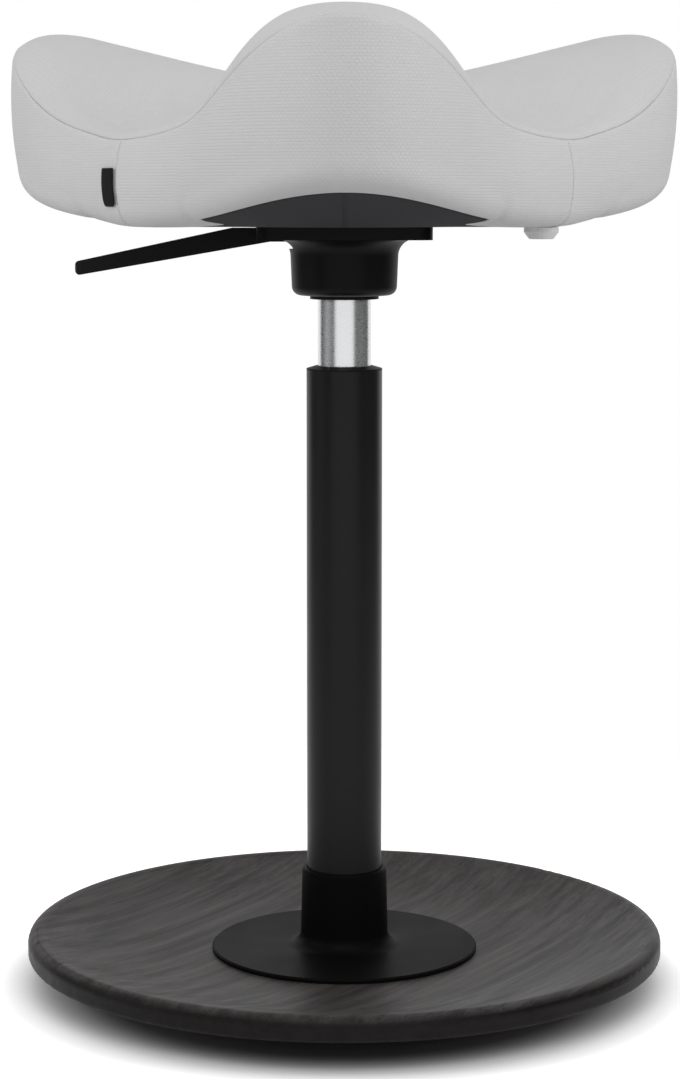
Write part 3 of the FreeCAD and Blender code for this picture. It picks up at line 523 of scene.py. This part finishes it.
def under_piece():
    """The underside cloth, with a seam from the flat middle out to each lobe."""
    angles = around(middle_seams=True)
    grid, places = seat_grid(2, angles)
    columns, rows = grid.shape[:2]
    normals = grid_normals(grid, closed=True)
    normals[:, -1] = (0, 0, -1)
    from_middle = np.abs((angles + VALLEY_TURN) % (2 * VALLEY_TURN) - VALLEY_TURN)
    radius = np.linalg.norm(grid[..., :2], axis=2)
    across = from_middle[:, None] * radius
    across = np.where(radius > FLAT_RADIUS, across, np.inf)
    distance = np.minimum(places, across)
    grid = sunk(grid, normals, distance)
    tucked = grid[:, 0] - normals[:, 0] * TURN_IN
    grid = np.concatenate([tucked[:, None], grid[:, :-1]], 1)
    weave = grid[..., :2].reshape(-1, 2)
    points = list(grid.reshape(-1, 3)) + [np.array([0, 0, SEAT_BOTTOM])]
    faces = grid_faces(columns, rows, True)
    last = len(points) - 1
    faces += [(i * rows + rows - 1, last, ((i + 1) % columns) * rows + rows - 1) for i in range(columns)]
    return thickened(new_piece("seat_underside", points, faces, np.vstack([weave, [(0, 0)]])))


def tag_piece():
    """A label lying on the side cloth, with its right edge in the left valley's seam."""
    heights = np.linspace(TAG_TOP, TAG_BOTTOM, TAG_ROWS)
    points, weave = [], []
    for across in np.linspace(0, TAG_WIDTH, TAG_COLUMNS):
        angle = -VALLEY_TURN - across / VALLEY_REACH
        band = seat_profiles(angle)[1]
        from_side = min(across, TAG_WIDTH - across)
        short = TAG_CORNER - math.sqrt(max(TAG_CORNER ** 2 - max(TAG_CORNER - from_side, 0) ** 2, 0))
        for height in heights:
            raised = height + short * (TAG_TOP - height) / (TAG_TOP - TAG_BOTTOM)
            reach = np.interp(raised, band[::-1, 1], band[::-1, 0]) + TAG_LIFT
            points.append(on_seat(angle, np.array([[reach, raised]]))[0])
            weave.append((across, raised))
    faces = grid_faces(TAG_COLUMNS, TAG_ROWS, False)
    return thickened(new_piece("seat_label", swollen(np.array(points)), faces, weave), TAG_THICKNESS)


# Materials

class Surface:
    """A node material. Its add() makes a node, sets its plain values and links the rest."""

    def __init__(self, name):
        self.material = bpy.data.materials.new(name)
        self.material.use_nodes = True
        self.tree = self.material.node_tree
        self.shader = self.tree.nodes["Principled BSDF"]
        coordinates = self.add("ShaderNodeTexCoord").outputs
        self.place = coordinates["Object"]
        self.normal = coordinates["Normal"]

    def add(self, kind, inputs=None, **settings):
        node = self.tree.nodes.new(kind)
        for key, value in settings.items():
            setattr(node, key, value)
        self.feed(node, inputs or {})
        return node

    def feed(self, node, inputs):
        for key, value in inputs.items():
            if isinstance(value, bpy.types.NodeSocket):
                self.tree.links.new(value, node.inputs[key])
            else:
                node.inputs[key].default_value = value

    def math(self, operation, a, b=0.0, clamp=False):
        return self.add("ShaderNodeMath", {0: a, 1: b}, operation=operation, use_clamp=clamp).outputs[0]

    def scaled(self, vector, scale, turn=(0, 0, 0)):
        node = self.add("ShaderNodeMapping", {"Vector": vector, "Rotation": turn, "Scale": scale})
        return node.outputs[0]

    def noise(self, vector, scale, detail=3.0, roughness=0.5):
        inputs = {"Vector": vector, "Scale": scale, "Detail": detail, "Roughness": roughness}
        return self.add("ShaderNodeTexNoise", inputs).outputs["Fac"]

    def ramp(self, fac, stops):
        node = self.add("ShaderNodeValToRGB", {"Fac": fac})
        elements = node.color_ramp.elements
        while len(elements) < len(stops):
            elements.new(0.5)
        for element, (position, colour) in zip(elements, stops):
            element.position = position
            element.color = (*colour, 1)
        return node.outputs["Color"]

    def mixed(self, fac, a, b, kind="MIX"):
        node = self.add("ShaderNodeMix", {"Factor": fac}, data_type="RGBA", blend_type=kind)
        self.feed_index(node, 6, a)
        self.feed_index(node, 7, b)
        return node.outputs[2]

    def feed_index(self, node, index, value):
        if isinstance(value, bpy.types.NodeSocket):
            self.tree.links.new(value, node.inputs[index])
        else:
            node.inputs[index].default_value = (*value, 1) if len(value) == 3 else value

    def bump(self, height, distance, strength=1.0, normal=None):
        inputs = {"Height": height, "Distance": distance, "Strength": strength}
        if normal is not None:
            inputs["Normal"] = normal
        return self.add("ShaderNodeBump", inputs).outputs["Normal"]

    def finish(self, **inputs):
        for key, value in inputs.items():
            self.feed(self.shader, {key.replace("_", " ").title().replace("Ior", "IOR"): value})
        return self.material


def grey(level):
    return (level, level, level)


def seat_fabric():
    """Light grey cloth of short stitches laid like bricks, along the flat cloth, with painted shade in the
    gaps between the stitches.
    """
    s = Surface("seat_fabric")
    flat = s.add("ShaderNodeAttribute", attribute_name="weave").outputs["Vector"]
    wander = s.noise(flat, 60.0, 2.0)
    bricks = s.add("ShaderNodeTexBrick", {
        "Vector": flat, "Scale": 1.0, "Mortar Size": STITCH_GAP, "Mortar Smooth": 1.0, "Bias": 0.0,
        "Brick Width": STITCH_LENGTH, "Row Height": STITCH_HEIGHT,
        "Color1": (*grey(1.0), 1), "Color2": (*grey(0.0), 1), "Mortar": (*grey(0.5), 1),
    }, offset=0.5)
    gaps = bricks.outputs["Fac"]
    yarn = s.noise(s.scaled(flat, (900, 3200, 1)), 1.0, 2.0)
    cloudy = s.noise(flat, 9.0, 3.0)
    base = s.ramp(cloudy, [(0.3, (0.525, 0.525, 0.527)), (0.7, (0.55, 0.55, 0.55))])
    # Painted shade: the colour darkens in the gaps between stitches
    base = s.mixed(s.math("MULTIPLY", gaps, 0.14), base, grey(0.30))
    tint = s.ramp(yarn, [(0.25, grey(0.94)), (0.75, grey(1.05))])
    base = s.mixed(1.0, base, tint, "MULTIPLY")
    height = s.math("SUBTRACT", s.math("MULTIPLY", yarn, 0.35), gaps)
    height = s.math("ADD", height, s.math("MULTIPLY", wander, 0.2))
    return s.finish(base_color=base, roughness=0.92, specular_ior_level=0.25, sheen_weight=0.12,
                    sheen_roughness=0.5, normal=s.bump(height, 0.0002, 0.5))


def underside_fabric():
    s = Surface("underside_fabric")
    flat = s.add("ShaderNodeAttribute", attribute_name="weave").outputs["Vector"]
    fibres = s.noise(s.scaled(flat, (700, 2400, 1), (0, 0, 0.5)), 1.0, 4.0)
    pattern = s.noise(flat, 1300.0, 2.0)
    base = s.ramp(fibres, [(0.3, (0.011, 0.0105, 0.0125)), (0.7, (0.020, 0.019, 0.023))])
    height = s.math("ADD", fibres, pattern)
    return s.finish(base_color=base, roughness=0.95, specular_ior_level=0.1, sheen_weight=0.03,
                    sheen_roughness=0.6, normal=s.bump(height, 0.00015, 0.5))


def stained_wood():
    """Black-stained wood with open pores along its grain, with painted shade where it turns down at the
    rim.
    """
    s = Surface("stained_wood")
    turned = s.scaled(s.place, (1, 1, 1), (0, 0, GRAIN_TURN))
    waves = s.noise(s.scaled(turned, (9, 1.1, 9)), 1.0, 3.0, 0.55)
    rings = s.add("ShaderNodeTexWave", {
        "Vector": s.scaled(turned, (1, 0.12, 1)), "Scale": 14.0, "Distortion": 9.0,
        "Detail": 3.0, "Detail Scale": 1.2, "Detail Roughness": 0.6,
    }, bands_direction="X").outputs["Fac"]
    pores = s.noise(s.scaled(turned, (900, 26, 900)), 1.0, 3.0, 0.6)
    streaks = s.noise(s.scaled(turned, (160, 4, 160)), 1.0, 4.0, 0.6)
    base = s.ramp(waves, [
        (0.3, (0.026, 0.021, 0.020)), (0.55, (0.040, 0.036, 0.035)), (0.75, (0.052, 0.049, 0.049)),
    ])
    dark = s.ramp(rings, [(0.0, grey(0.72)), (0.5, grey(1.0)), (1.0, grey(1.05))])
    base = s.mixed(0.6, base, dark, "MULTIPLY")
    fine = s.ramp(streaks, [(0.34, grey(0.45)), (0.66, grey(1.3))])
    base = s.mixed(0.85, base, fine, "MULTIPLY")
    open_pores = s.ramp(pores, [(0.34, grey(0.25)), (0.46, grey(1.0))])
    base = s.mixed(0.8, base, open_pores, "MULTIPLY")
    height = s.math("ADD", s.math("MULTIPLY", pores, 0.6), s.math("MULTIPLY", streaks, 0.4))
    rough = s.ramp(streaks, [(0.3, grey(0.52)), (0.7, grey(0.44))])
    # Painted shade: the colour darkens where the wood faces sideways or down, on the rim's side and
    # underneath
    upward = s.add("ShaderNodeSeparateXYZ", {"Vector": s.normal}).outputs["Z"]
    edge = s.ramp(upward, [(0.45, (0.10, 0.07, 0.07)), (0.92, grey(1.0))])
    base = s.mixed(1.0, base, edge, "MULTIPLY")
    return s.finish(base_color=base, roughness=rough, specular_ior_level=0.13,
                    normal=s.bump(height, 0.0003, 0.6))


def coated(name, levels, roughness, gloss, grain, relief):
    """Powder coat, rubber or grained plastic, between two levels of grey."""
    s = Surface(name)
    low, high = levels
    fine = s.noise(s.place, grain, 3.0, 0.6)
    cloudy = s.noise(s.place, 18.0, 2.0)
    base = s.ramp(fine, [(0.3, grey(low)), (0.7, grey(high))])
    rough = s.ramp(cloudy, [(0.3, grey(roughness - 0.04)), (0.7, grey(roughness + 0.04))])
    return s.finish(base_color=base, roughness=rough, specular_ior_level=gloss,
                    normal=s.bump(fine, relief, 0.5))


def metal(name, colour, roughness, stretch):
    """Polished or turned metal with faint marks round the Z axis."""
    s = Surface(name)
    marks = s.noise(s.scaled(s.place, stretch), 1.0, 3.0)
    base = s.ramp(marks, [(0.3, tuple(c * 0.94 for c in colour)), (0.7, colour)])
    rough = s.ramp(marks, [(0.3, grey(roughness)), (0.7, grey(roughness * 1.3))])
    return s.finish(base_color=base, metallic=1.0, roughness=rough, normal=s.bump(marks, 0.00002, 0.3))


def plywood():
    s = Surface("plywood")
    waves = {"Vector": s.place, "Scale": 110.0, "Distortion": 0.3}
    layers = s.add("ShaderNodeTexWave", waves, bands_direction="Z").outputs["Fac"]
    grain = s.noise(s.scaled(s.place, (12, 500, 500)), 1.0, 4.0)
    base = s.ramp(layers, [(0.3, (0.50, 0.36, 0.22)), (0.7, (0.62, 0.47, 0.31))])
    base = s.mixed(0.5, base, s.ramp(grain, [(0.3, grey(0.8)), (0.7, grey(1.1))]), "MULTIPLY")
    return s.finish(base_color=base, roughness=0.7, normal=s.bump(grain, 0.0001, 0.4))


def foam():
    s = Surface("foam")
    cells = s.add("ShaderNodeTexVoronoi", {"Vector": s.place, "Scale": 900.0}).outputs["Distance"]
    base = s.ramp(cells, [(0.0, (0.55, 0.52, 0.42)), (0.6, (0.78, 0.75, 0.63))])
    return s.finish(base_color=base, roughness=0.95, normal=s.bump(cells, 0.0003, 0.5))


def tag_fabric():
    s = Surface("tag_fabric")
    lines = {"Vector": s.place, "Scale": 320.0}
    ribs = s.add("ShaderNodeTexWave", lines, bands_direction="Z").outputs["Fac"]
    threads = s.noise(s.place, 2500.0, 2.0)
    base = s.ramp(ribs, [(0.0, grey(0.003)), (1.0, grey(0.007))])
    height = s.math("ADD", ribs, s.math("MULTIPLY", threads, 0.5))
    return s.finish(base_color=base, roughness=0.8, specular_ior_level=0.12,
                    normal=s.bump(height, 0.0001, 0.5))


MATERIALS = {
    "seat_fabric": seat_fabric(),
    "underside_fabric": underside_fabric(),
    "stained_wood": stained_wood(),
    "black_metal": coated(
        "black_metal", (0.004, 0.007), roughness=0.36, gloss=0.17, grain=1400.0, relief=0.05 * MM),
    "flange_metal": coated(
        "flange_metal", (0.002, 0.004), roughness=0.45, gloss=0.025, grain=1400.0, relief=0.05 * MM),
    "housing_metal": coated(
        "housing_metal", (0.003, 0.005), roughness=0.42, gloss=0.09, grain=1400.0, relief=0.05 * MM),
    "black_plastic": coated(
        "black_plastic", (0.003, 0.006), roughness=0.5, gloss=0.09, grain=1100.0, relief=0.08 * MM),
    "grey_plastic": coated(
        "grey_plastic", (0.56, 0.60), roughness=0.45, gloss=0.4, grain=900.0, relief=0.04 * MM),
    "soft_rubber": coated(
        "soft_rubber", (0.018, 0.028), roughness=0.8, gloss=0.22, grain=700.0, relief=0.1 * MM),
    "chrome": metal("chrome", (0.78, 0.79, 0.80), 0.24, (300, 300, 6000)),
    "steel": metal("steel", (0.55, 0.55, 0.56), 0.30, (400, 400, 3000)),
    "plywood": plywood(),
    "foam": foam(),
    "tag_fabric": tag_fabric(),
}


def dress(piece, name):
    piece.data.materials.clear()
    piece.data.materials.append(MATERIALS[name])


# The flange and the housing are of the same black metal as the column, in a duller finish of their own
SLOTS = {part["node"]: part["material_slot"] for part in frame["record"]["subparts"]}
SLOTS.update(base_flange="flange_metal", mechanism_housing="housing_metal")
for node, piece in frame["nodes"].items():
    dress(piece, SLOTS[node])


# The cushion

seat_top = top_piece()
sides = [
    (side_piece("seat_side_front", 0), "front_side_cover"),
    (side_piece("seat_side_right", 1), "right_side_cover"),
    (side_piece("seat_side_left", 2), "left_side_cover"),
]
seat_underside = under_piece()
seat_label = tag_piece()
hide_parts("top_cover", "seat_foam")
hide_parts("bottom_cover")
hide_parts("seat_tag")
dress(seat_label, "tag_fabric")
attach(seat_label, "seat")
for piece, node in sides:
    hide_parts(node)
for piece in [seat_top] + [side for side, node in sides]:
    dress(piece, "seat_fabric")
    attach(piece, "seat")
dress(seat_underside, "underside_fabric")
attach(seat_underside, "seat")


# Floor, light and camera

def floor():
    """A plain floor that keeps the shadow, darkened further under the base by a painted shadow where it is
    seen, and that turns white further out where it is seen.
    """
    mesh = bpy.data.meshes.new("floor")
    corners = [(x * FLOOR_SIZE, y * FLOOR_SIZE, 0) for x, y in ((-1, -1), (1, -1), (1, 1), (-1, 1))]
    mesh.from_pydata(corners, [], [(0, 1, 2, 3)])
    plane = bpy.data.objects.new("floor", mesh)
    bpy.context.scene.collection.objects.link(plane)
    s = Surface("floor")
    path = s.add("ShaderNodeLightPath").outputs
    seen = s.math("MAXIMUM", path["Is Camera Ray"], path["Is Glossy Ray"])
    seen = s.math("MAXIMUM", seen, path["Is Transmission Ray"])
    distance = s.add("ShaderNodeVectorMath", {0: s.place}, operation="LENGTH").outputs["Value"]
    # Painted shadow: where it is seen, the floor's colour goes darker close under the base
    near = s.add("ShaderNodeMapRange", {
        "Value": distance, "From Min": PAINTED_SHADOW_START, "From Max": PAINTED_SHADOW_END,
        "To Min": FLOOR_PAINTED_SHADOW, "To Max": FLOOR_SEEN,
    }).outputs["Result"]
    far = s.add("ShaderNodeMapRange", {
        "Value": distance, "From Min": WHITE_START, "From Max": WHITE_END,
    }).outputs["Result"]
    near = s.math("MULTIPLY", near, s.math("SUBTRACT", 1.0, far))
    level = s.math("ADD", s.math("MULTIPLY", seen, s.math("SUBTRACT", near, FLOOR_LEVEL)), FLOOR_LEVEL)
    colour = s.add("ShaderNodeCombineColor", {"Red": level, "Green": level, "Blue": level}).outputs["Color"]
    plane.data.materials.append(s.finish(
        base_color=colour, roughness=1.0, specular_ior_level=0.0,
        emission_color=(*grey(1.0), 1), emission_strength=s.math("MULTIPLY", seen, far),
    ))


def studio():
    """A world that lights at a plain level, and is white where it is seen."""
    world = bpy.data.worlds.new("studio")
    world.use_nodes = True
    tree = world.node_tree
    background = tree.nodes["Background"]
    path = tree.nodes.new("ShaderNodeLightPath")
    seen = tree.nodes.new("ShaderNodeMath")
    seen.operation = "MAXIMUM"
    tree.links.new(path.outputs["Is Camera Ray"], seen.inputs[0])
    tree.links.new(path.outputs["Is Glossy Ray"], seen.inputs[1])
    both = tree.nodes.new("ShaderNodeMath")
    both.operation = "MAXIMUM"
    tree.links.new(seen.outputs[0], both.inputs[0])
    tree.links.new(path.outputs["Is Transmission Ray"], both.inputs[1])
    level = tree.nodes.new("ShaderNodeMapRange")
    tree.links.new(both.outputs[0], level.inputs["Value"])
    level.inputs["To Min"].default_value = WORLD_LEVEL
    level.inputs["To Max"].default_value = 1.0
    tree.links.new(level.outputs[0], background.inputs["Strength"])
    background.inputs["Color"].default_value = (1, 1, 1, 1)
    bpy.context.scene.world = world


def softbox(name, place, target, size, power):
    """A rectangular lamp that points at its target."""
    light = bpy.data.lights.new(name, "AREA")
    light.shape = "RECTANGLE"
    light.size, light.size_y = size
    light.energy = power
    lamp = bpy.data.objects.new(name, light)
    bpy.context.scene.collection.objects.link(lamp)
    lamp.location = place
    lamp.rotation_euler = (Vector(target) - Vector(place)).to_track_quat("-Z", "Y").to_euler()


def side_flag(name, first, last):
    """A dark card curved round the stool, seen in gloss only.

    Its first and last angles are in degrees from the camera's side.
    """
    turns = np.radians(np.linspace(first, last, FLAG_COLUMNS))
    points = [
        (FLAG_RADIUS * math.sin(t), -FLAG_RADIUS * math.cos(t), z)
        for t in turns for z in (FLAG_BOTTOM, FLAG_TOP)
    ]
    faces = [(2 * i, 2 * i + 2, 2 * i + 3, 2 * i + 1) for i in range(FLAG_COLUMNS - 1)]
    mesh = bpy.data.meshes.new(name)
    mesh.from_pydata(points, [], faces)
    card = bpy.data.objects.new(name, mesh)
    bpy.context.scene.collection.objects.link(card)
    for ray in ("camera", "diffuse", "transmission", "shadow", "volume_scatter"):
        setattr(card, f"visible_{ray}", False)
    s = Surface(name)
    card.data.materials.append(s.finish(base_color=(*grey(0.05), 1), roughness=1.0, specular_ior_level=0.0))


floor()
studio()
softbox("key", place=(0.1, -2.0, 1.9), target=(0, 0, 0.5), size=(2.2, 1.4), power=23)
softbox("top", place=(0.1, 0.2, 2.6), target=(0, 0, 0.3), size=(2.2, 2.2), power=5)
softbox("fill_left", place=(-2.1, -0.35, 1.0), target=(0, 0, 0.5), size=(1.2, 1.2), power=14)
softbox("fill_right", place=(2.1, -0.35, 1.0), target=(0, 0, 0.5), size=(1.2, 1.2), power=14)
side_flag("flag_left", -124, -42)
side_flag("flag_right", 42, 124)

camera = bpy.data.cameras.new("camera")
camera.sensor_fit = "AUTO"
camera.sensor_width = SENSOR
camera.lens = FOCAL_PIXELS / IMAGE_HEIGHT * SENSOR
viewpoint = bpy.data.objects.new("camera", camera)
bpy.context.scene.collection.objects.link(viewpoint)
viewpoint.location = CAMERA_PLACE
viewpoint.rotation_euler = (math.pi / 2 - CAMERA_PITCH, 0, 0)
bpy.context.scene.camera = viewpoint
bpy.context.scene.view_settings.view_transform = "Standard"
